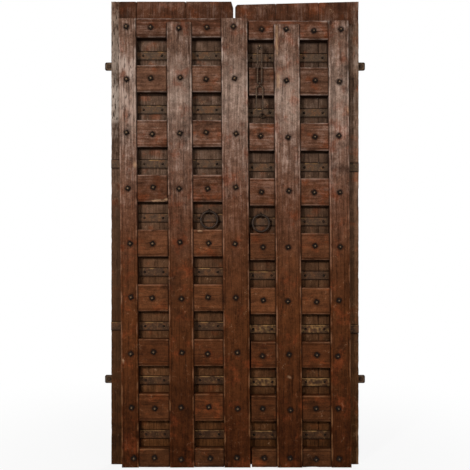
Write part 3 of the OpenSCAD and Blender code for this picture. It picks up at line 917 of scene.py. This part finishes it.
board = {
    "fineCell": 3.5,
    "fineStrip": 46,
    "arris": {"joint": 0.7, "outer": 2.5},
    "grooveDepth": 3,
    "grooveGap": 1.5,
    "topFall": {"left": 0, "right": 14},
    "corner": {"left": 27, "right": 11},
    "cornerWidth": 9,
    "innerEdge": {"left": -7.5, "right": 0.5},
    "outerEdge": {"left": -548.5, "right": 548.5},
    "headFrom": 1950,
    "sideCut": 10,  # behind the face
    "faceDeep": 6,
    "rot": {"left": 6, "right": 2.5},  # how deep the outer edge has weathered
    "rotFrom": {"left": 1180, "right": 1300},
    "lowerDirt": {"left": 0.5, "right": 0.06},  # the outer edge is darker below
    "stripPaintedLight": {"left": 0, "right": 0.6},  # painted light: how much lighter the outer edge is above, beside the outer stile
    "headTone": {"left": 0, "right": 0.18},  # and the top
    "tone": {"left": [1.05, 1, 0.9], "right": [0.78, 0.82, 0.9]},
    # Heights and widths between which a mark comes or goes
    "stripHeights": (850, 1150, 1930, 1970),
    "headHeights": (1955, 1975),
    "upper": (1250, 1600),
    "lower": (1120, 1300),
    "jointTop": (1900, 1960),
    "greyWidth": (25, 50),
    "footWidth": (8, 20),
    "footHeight": (150, 210),
    # How strong each mark is
    "grey": {"left": 0.95, "right": 0.5},
    "paleFoot": {"left": 0, "right": 1},
    "grooveDirtAndShade": 0.9,
    "pitDirt": 0.75,
    "pitFrom": 0.3,
    "jointDirt": 0.3,
    "strapDirtAndShade": 0.7,
}


def boardTop(side, x):
    inner = board["innerEdge"][side]
    outer = board["outerEdge"][side]
    fromInner = abs(x - inner)
    share = max(fromInner - board["cornerWidth"], 0) / (abs(outer - inner) - board["cornerWidth"])
    top = panel["height"] - board["topFall"][side] * (1 - share)
    return top - board["corner"][side] * max(1 - fromInner / board["cornerWidth"], 0)


# Long pits and holes that follow the grain, 0 where there are none
def rotPit(x, z, seed):
    line = abs(wander(x * 7, seed, z * 0.6, 60))
    hole = max(wander(x * 5, seed + 9, z, 26) - 0.1, 0)
    return 0.7 * fade(0, 0.2, line) * smooth(-0.2, 0.3, wander(x, seed, z, 70)) + 0.9 * hole


# Painted shade on the boards in the corners of the sunk squares
corners = {"underRail": 16, "rightOfStile": 16, "leftOfStile": 12, "besideOuter": 7}


def cornerShade(side, x, z):
    dirtAndShade = 0
    outerStile = stiles[f"{side}_outer_stile"]
    middle = outerStile["mid"] + shift(z)
    if abs(x) > abs(middle):
        beside = abs(x - middle) - outerStile["width"] / 2
        return 0.4 * fade(0, corners["besideOuter"], beside)
    for low, high in railBoxes[side]:
        below = low.z - z
        if 0 < below < corners["underRail"]:
            dirtAndShade = 0.9 * fade(3, corners["underRail"], below)
    for d in stiles.values():
        if z > d["top"]:
            continue
        off = x - d["mid"] - shift(z)
        right = off - d["width"] / 2
        left = -off - d["width"] / 2
        if right > 0:
            dirtAndShade = max(dirtAndShade, 0.8 * fade(0, corners["rightOfStile"], right))
        if left > 0:
            dirtAndShade = max(dirtAndShade, 0.6 * fade(0, corners["leftOfStile"], left))
    return dirtAndShade


def makeBoard(side, i, seed):
    name = f"{side}_board_{i}"
    low, high = boxOf(name)
    outer = board["outerEdge"][side]
    depth = board["grooveDepth"]
    headFrom = board["headFrom"]
    bm = block((low.x, boardFront, 0), (high.x, boardBack, panel["height"]))
    grooves = []
    for row in range(1, rowCount + 1):
        a, b = boxOf(f"{side}_strap_{row}")
        gap = board["grooveGap"]
        grooves.append((a.x - gap, b.x + gap, a.z - gap, b.z + gap))
    zSteps = []
    xSteps = []
    for x0, x1, z0, z1 in grooves:
        zSteps += [z0, z0 - wall, z1, z1 + wall]
        for x in (x0 - wall, x0, x1, x1 + wall):
            if low.x + 3 < x < high.x - 3 and all(abs(x - other) > 0.05 for other in xSteps):
                xSteps.append(x)
    cutAcross(bm, 2, zSteps + spread(0, panel["height"], cell, zSteps))
    corner = board["innerEdge"][side] + (-1 if side == "left" else 1) * board["cornerWidth"]
    if low.x < corner < high.x:
        xSteps.append(corner)
    if min(abs(low.x - outer), abs(high.x - outer)) < 1:
        strip = sorted([outer, outer - copysign(board["fineStrip"], outer)])
        xSteps += spread(strip[0], strip[1], board["fineCell"], xSteps)
    cutAcross(bm, 0, xSteps + spread(low.x, high.x, cell, xSteps))
    cutAcross(bm, 1, [boardFront + depth, boardFront + board["sideCut"], boardBack - cell])
    roundFront(bm, boardFront, [(0, outer)], board["arris"]["outer"], 2)
    roundFront(bm, boardFront, [(0, low.x), (0, high.x)], board["arris"]["joint"], 1)
    grooved = set()
    for v in bm.verts:
        p = v.co
        if p.y < boardFront + depth + near:
            for x0, x1, z0, z1 in grooves:
                if x0 - near < p.x < x1 + near and z0 - near < p.z < z1 + near:
                    p.y = boardFront + depth
                    grooved.add(v)
        if p.z > headFrom:
            share = (p.z - headFrom) / (panel["height"] - headFrom)
            p.z = headFrom + share * (boardTop(side, p.x) - headFrom)
    bm.normal_update()
    moves = {}
    pits = {}
    for v in bm.verts:
        p = v.co
        if v in grooved:
            continue
        edge = fade(0, wear["edgeReach"], min(p.x - low.x, high.x - p.x) + p.y - boardFront)
        amount = weather(p, edge, seed) * (0.5 if p.y > boardBack - panel["faceDepth"] else 1)
        exposed = fade(board["fineStrip"] * 0.8, board["fineStrip"], abs(p.x - outer))
        exposed *= smooth(board["rotFrom"][side], board["rotFrom"][side] + 250, p.z)
        pits[v] = exposed * rotPit(p.x, p.z, seed) * fade(0, 4, p.y - boardFront)
        moves[v] = -v.normal * amount
        moves[v].y += board["rot"][side] * pits[v]
    moveAll(moves)

    def marks(v):
        p = v.co
        deep = p.y - boardFront
        fromOuter = abs(p.x - outer)
        upper = smooth(*board["upper"], p.z)
        worn = fade(0, 8, fromOuter + max(deep - 2, 0)) * (0.4 + 0.5 * upper)
        grey = fade(*board["greyWidth"], fromOuter) * upper
        foot = fade(*board["footWidth"], fromOuter) * fade(*board["footHeight"], p.z)
        worn = max(worn, board["grey"][side] * grey, board["paleFoot"][side] * foot)
        dirtAndShade = board["pitDirt"] * max(pits.get(v, 0) - board["pitFrom"], 0)
        # Dirt and painted shade in the strap's groove
        if v in grooved:
            dirtAndShade = board["grooveDirtAndShade"]
        onFace = deep < board["faceDeep"]
        if fromOuter > 10 and onFace:
            atJoint = fade(0, 4, min(p.x - low.x, high.x - p.x))
            dirtAndShade = max(dirtAndShade, board["jointDirt"] * atJoint * fade(*board["jointTop"], p.z))
        # Painted shade in the corners of the sunk squares
        if deep < 4:
            dirtAndShade = max(dirtAndShade, cornerShade(side, p.x, p.z))
        if fromOuter < board["fineStrip"]:
            dirtAndShade = max(dirtAndShade, board["lowerDirt"][side] * fade(*board["lower"], p.z))
        for x0, x1, z0, z1 in grooves:  # dirt and painted shade in lines above and below a strap
            if x0 < p.x < x1 and onFace:
                away = min(abs(p.z - z0), abs(p.z - z1))
                dirtAndShade = max(dirtAndShade, board["strapDirtAndShade"] * fade(0, 5, away))
        return worn, min(dirtAndShade, 1), 0

    def tone(v):
        strip = fade(board["fineStrip"] * 0.7, board["fineStrip"], abs(v.co.x - outer))
        z0, z1, z2, z3 = board["stripHeights"]
        strip *= smooth(z0, z1, v.co.z) * fade(z2, z3, v.co.z)
        head = smooth(*board["headHeights"], v.co.z)
        # The outer edge gets painted light; the top is lighter
        lighter = board["stripPaintedLight"][side] * strip + board["headTone"][side] * head
        return board["tone"][side][i - 1] * (1 + lighter)

    setMarks(bm, marks, tone)
    addPiece(name + "_plank", bm, "board", [name])


for sideIndex, side in enumerate(sides):
    for i in range(1, 4):
        makeBoard(side, i, 211 * i + 50 * sideIndex)
print("boards made")


# Straps: flat bars of uneven width, bent round the outer edge where the frame has it
strap = {
    "thick": 3,
    "height": 36,
    "arris": 0.8,
    "sway": 1.2,
    "dish": 0.6,
    "rubbed": {"left": 0.35, "right": 0.7},  # how far the lower straps are rubbed bare
    "rubbedRows": {5: 0.4, 6: 1, 7: 1, 8: 0.5},
    "rubbedTo": (480, 500),  # from the middle of the door, where the rubbing ends
    "rim": (1, 8),  # from the upper edge: bright up to here, plain there
    "footDarkening": 0.8,
    "footReach": 4,
}


def makeStrap(side, row):
    name = f"{side}_strap_{row}"
    low, high = boxOf(name)
    outer = board["outerEdge"][side]
    thick = strap["thick"]
    wraps = min(abs(low.x - outer), abs(high.x - outer)) < 5
    x0 = max(low.x, board["outerEdge"]["left"])
    x1 = min(high.x, board["outerEdge"]["right"])
    bm = block((x0, boardFront, low.z), (x1, boardFront + thick, high.z))
    if wraps:
        end = [f for f in bm.faces if abs(f.calc_center_median().x - outer) < near]
        turn = radians(90) * (1 if side == "left" else -1)
        spun = ops.spin(bm, geom=end, cent=(outer, boardFront + thick, 0), axis=(0, 0, 1),
                              angle=turn, steps=4)
        last = [g for g in spun["geom_last"] if isinstance(g, bmesh.types.BMFace)]
        ops.translate(bm, verts=extrude(bm, last), vec=(0, high.y - boardFront - thick, 0))
        ops.delete(bm, geom=end + last, context="FACES_ONLY")
        ops.recalc_face_normals(bm, faces=bm.faces)
    cutAcross(bm, 0, spread(x0, x1, cell))
    cutAcross(bm, 2, spread(low.z, high.z, 6))
    bevelEdges(bm, lambda e: e.calc_face_angle(0) > radians(60), strap["arris"], 2)
    middle = (low.z + high.z) / 2
    half = strap["height"] / 2
    for v in bm.verts:
        p = v.co
        share = (p.z - middle) / half
        p.z -= share * strap["sway"] * swell(p.x, row * 40, share, 60)
        if p.y < boardFront + 1:
            p.y += strap["dish"] * swell(p.x, p.z, row * 30, 20)

    def marks(v):
        fromTop = half - (v.co.z - middle)
        fromFoot = half + (v.co.z - middle)
        bright = smooth(-0.2 - 0.5 * smooth(4, 7, row), 0.4, wander(v.co.x, row * 20, 0, 40))
        worn = fade(*strap["rim"], fromTop) * bright
        bare = strap["rubbed"][side] * strap["rubbedRows"].get(row, 0)
        bare *= fade(*strap["rubbedTo"], abs(v.co.x))
        worn = max(worn, bare * (0.65 + 0.9 * wander(v.co.x, row * 20, v.co.z, 12)))
        # Dirt and painted shade along the lower edge
        return worn, strap["footDarkening"] * fade(0, strap["footReach"], fromFoot), 0

    setMarks(bm, marks)
    addPiece(name + "_bar", bm, "strap", [name])


for side in sides:
    for row in range(1, rowCount + 1):
        makeStrap(side, row)
print("straps made:", 2 * rowCount)


# Nails: a four-sided hammered head, a round shank, a tip bent down on the back
def addRod(bm, start, end, r0, r1, segments=8):
    way = Vector(end) - Vector(start)
    turn = way.to_track_quat("Z", "Y").to_matrix().to_4x4()
    place = Matrix.Translation((Vector(start) + Vector(end)) / 2) @ turn
    ops.create_cone(bm, cap_ends=True, segments=segments, radius1=r0, radius2=r1, depth=way.length,
                          matrix=place)


def nailHead(s, index):
    width = nails["headWidth"]
    rim = nails["rim"]
    head = block((-width / 2, -width / 2, 0), (width / 2, width / 2, rim))
    top = [f for f in head.faces if f.calc_center_median().z > rim - near]
    tip = extrude(head, top)
    share = nails["tip"] / width
    ops.scale(head, vec=(share, share, 1), verts=tip)
    ops.translate(head, vec=(0, 0, nails["headHeight"] - rim), verts=tip)
    ops.delete(head, geom=top, context="FACES_ONLY")
    ops.recalc_face_normals(head, faces=head.faces)
    bevelEdges(head, lambda e: max(v.co.z for v in e.verts) > 0.1, nails["rounding"][s["side"]], 2)
    # The tip is rubbed and carries a painted highlight; the foot of the head is dirty
    setMarks(head, lambda v: (smooth(*nails["bright"], v.co.z), fade(*nails["dirty"], v.co.z), 0))
    for v in head.verts:
        p = v.co
        if p.z > 0.1:
            dent = nails["dent"] * wander(p.x + 90 * index, p.y, p.z, nails["dentSize"])
            p.x += dent * 0.6
            p.y -= dent * 0.5
            p.z -= 0.5 * abs(dent)
    place = Matrix.Translation((s["x"], s["face"], s["z"])) @ Matrix.Rotation(radians(90), 4, "X")
    place = place @ Matrix.Rotation(radians(s["turn"]), 4, "Z")
    ops.transform(head, matrix=place, verts=head.verts)
    return head


def makeNails():
    bm = newMesh()
    radius = nails["shank"] / 2
    tipRadius = nails["clenchShare"] * radius
    for index, s in enumerate(spots):
        part = meshOf(nailHead(s, index), "head")
        bm.from_mesh(part)
        bpy.data.meshes.remove(part)
        end = boardBack + nails["past"] if s["through"] else boardFront - nails["short"]
        addRod(bm, (s["x"], s["face"] + nails["sunk"], s["z"]), (s["x"], end, s["z"]), radius, radius)
        if s["through"]:
            low = (s["x"] + 0.5 * stray(index, 3), boardBack + tipRadius * 0.7, s["z"] - nails["clench"])
            addRod(bm, (s["x"], boardBack + 0.2 + tipRadius, s["z"] + 1), low, tipRadius, tipRadius * 0.6)
    addPiece("hammered_nails", bm, "nail", ["forged_nails"], sharp=50)


makeNails()
print("nails made:", len(spots))

# Ironwork with the frame's own forms, cut finer and hammered: finish, longest edge, dent, shine (a
# painted highlight on the faces that look to the front)
ironwork = {
    "left_ring": ("chain", 4, 0.7, 0.35),
    "right_ring": ("chain", 4, 0.7, 0.35),
    "chain_link_1": ("chain", 3.5, 0.5, 0.5),
    "chain_link_2": ("chain", 3.5, 0.5, 0.5),
    "chain_hasp": ("chain", 3.5, 0.6, 0.55),
    "left_ring_staple": ("nail", 4, 0.4, 0.5),
    "right_ring_staple": ("nail", 4, 0.4, 0.5),
    "chain_staple": ("chain", 4, 0.4, 0.9),
    "chain_keeper": ("nail", 4, 0.4, 0.5),
    "strap_nails": ("nail", 6, 0.3, 0.5),
    "upper_back_bar": ("bar", 16, 0.7, 0.6),
    "lower_back_bar": ("bar", 16, 0.7, 0.6),
    "bar_screws": ("bar", 6, 0.4, 0.6),
}
# Each of these is a body of its own
swinging = ["left_ring", "right_ring", "chain_link_1", "chain_link_2", "chain_hasp"]
hammer = {"passes": 6, "dentSize": 13, "facing": (0.55, 0.98)}


def makeIronwork(node, finish, longest, dent, shine):
    bm = newMesh()
    bm.from_mesh(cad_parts[node].data)
    ops.scale(bm, vec=(1000, 1000, 1000), verts=bm.verts)
    ops.remove_doubles(bm, verts=bm.verts, dist=0.001)
    for turn in range(hammer["passes"]):
        long = [e for e in bm.edges if e.calc_length() > longest]
        if not long:
            break
        ops.subdivide_edges(bm, edges=long, cuts=1)
        ops.triangulate(bm, faces=[f for f in bm.faces if len(f.verts) > 3])
    bm.normal_update()
    moves = {}
    for v in bm.verts:
        hit = swell(*v.co, hammer["dentSize"])
        moves[v] = -v.normal * dent * hit * hit
    # Painted highlight: the faces that look to the front are paler
    setMarks(bm, lambda v: (shine * smooth(*hammer["facing"], -v.normal.y), 0, 0))
    moveAll(moves)
    addPiece(node + "_iron", bm, finish, [node], node if node in swinging else "panel", sharp=45)


for node, settings in ironwork.items():
    makeIronwork(node, *settings)
print("ironwork made:", len(ironwork))

# A rusted bolt through each end of the bars
bolts = {
    "across": 562.5,
    "heights": {"upper_back_bar": 1770, "lower_back_bar": 371.5},
    "shank": 5.2,
    "head": 8,
    "taper": 1.5,
    "proud": 2.2,
    "shy": 0.4,  # how far the shank starts and ends before the bar's faces
    "lap": 0.2,  # how far the head goes into the bar
    "sides": 16,
    "rounding": 0.5,
    "worn": 0.3,
}


def makeBolts():
    bm = newMesh()
    for bar, z in bolts["heights"].items():
        low, high = boxOf(bar)
        shank = bolts["shank"]
        head = bolts["head"]
        for x in (-bolts["across"], bolts["across"]):
            start = (x, low.y - bolts["shy"], z)
            addRod(bm, start, (x, high.y - bolts["shy"], z), shank, shank, bolts["sides"])
            start = (x, low.y - bolts["proud"], z)
            addRod(bm, start, (x, low.y + bolts["lap"], z), head - bolts["taper"], head, bolts["sides"])
    bevelEdges(bm, lambda e: e.calc_face_angle(0) > radians(40), bolts["rounding"], 2)
    setMarks(bm, lambda v: (bolts["worn"], 0, 0))
    addPiece("bar_bolts", bm, "bar", [])


makeBolts()
print("bolts made")


# Floor, light and background
studio = {
    "floorSize": 14,
    "floorColour": (228, 227, 225),
    "floorWhite": 0.88,  # how white the floor is beside the door
    "allWhite": (0.4, 2.2),  # from the middle: whitens from here, all white there
    "ambient": 0.08,
    "lamps": [
        {"name": "left_box", "place": (-2.0, -3.9, 2.3), "size": 0.45, "power": 113},
        {"name": "right_box", "place": (2.1, -3.6, 2.1), "size": 1.5, "power": 44},
        {"name": "back_box", "place": (0.9, 3.8, 2.3), "size": 1.4, "power": 115},
    ],
    "aim": (0, 0, 1.25),
}


# 1 for rays that see a white ground: from the camera, in gloss and through glass
def seenRay(f):
    path = f.add("LightPath")
    seen = path.out("Is Camera Ray") + path.out("Is Glossy Ray") + path.out("Is Transmission Ray")
    return seen.ramp(0, 1)


def makeFloor():
    bm = bmesh.new()
    ops.create_grid(bm, x_segments=1, y_segments=1, size=studio["floorSize"] / 2)
    floor = show("floor", meshOf(bm, "floor"))
    material = newMaterial("pale_floor")
    f = Finish(material.node_tree)
    place = f.add("TexCoord", output="Object")
    away = f.add("VectorMath", {"operation": "LENGTH"}, {0: place}, "Value")
    plain = f.add("BsdfDiffuse", {}, {"Color": rgba(studio["floorColour"])})
    white = f.add("Emission")
    clean = away.ramp(*studio["allWhite"]) * (1 - studio["floorWhite"]) + studio["floorWhite"]
    shown = f.add("MixShader", {}, {0: seenRay(f) * clean, 1: plain, 2: white})
    f.add("OutputMaterial", {}, {"Surface": shown})
    floor.data.materials.append(material)


def makeWorld():
    world = bpy.data.worlds.new("studio")
    scene.world = world
    world.use_nodes = True
    f = Finish(world.node_tree)
    ambient = f.add("Background", {}, {"Color": (1, 1, 1, 1), "Strength": studio["ambient"]})
    white = f.add("Background", {}, {"Color": (1, 1, 1, 1)})
    shown = f.add("MixShader", {}, {0: seenRay(f), 1: ambient, 2: white})
    f.add("OutputWorld", {}, {"Surface": shown})


def makeLamps():
    for d in studio["lamps"]:
        lamp = bpy.data.lights.new(d["name"], "AREA")
        lamp.shape = "SQUARE"
        lamp.size = d["size"]
        lamp.energy = d["power"]
        holder = show(d["name"], lamp)
        holder.location = d["place"]
        away = Vector(studio["aim"]) - Vector(d["place"])
        holder.rotation_euler = away.to_track_quat("-Z", "Y").to_euler()


makeFloor()
makeWorld()
makeLamps()
scene.view_settings.view_transform = "Standard"
print("studio made")
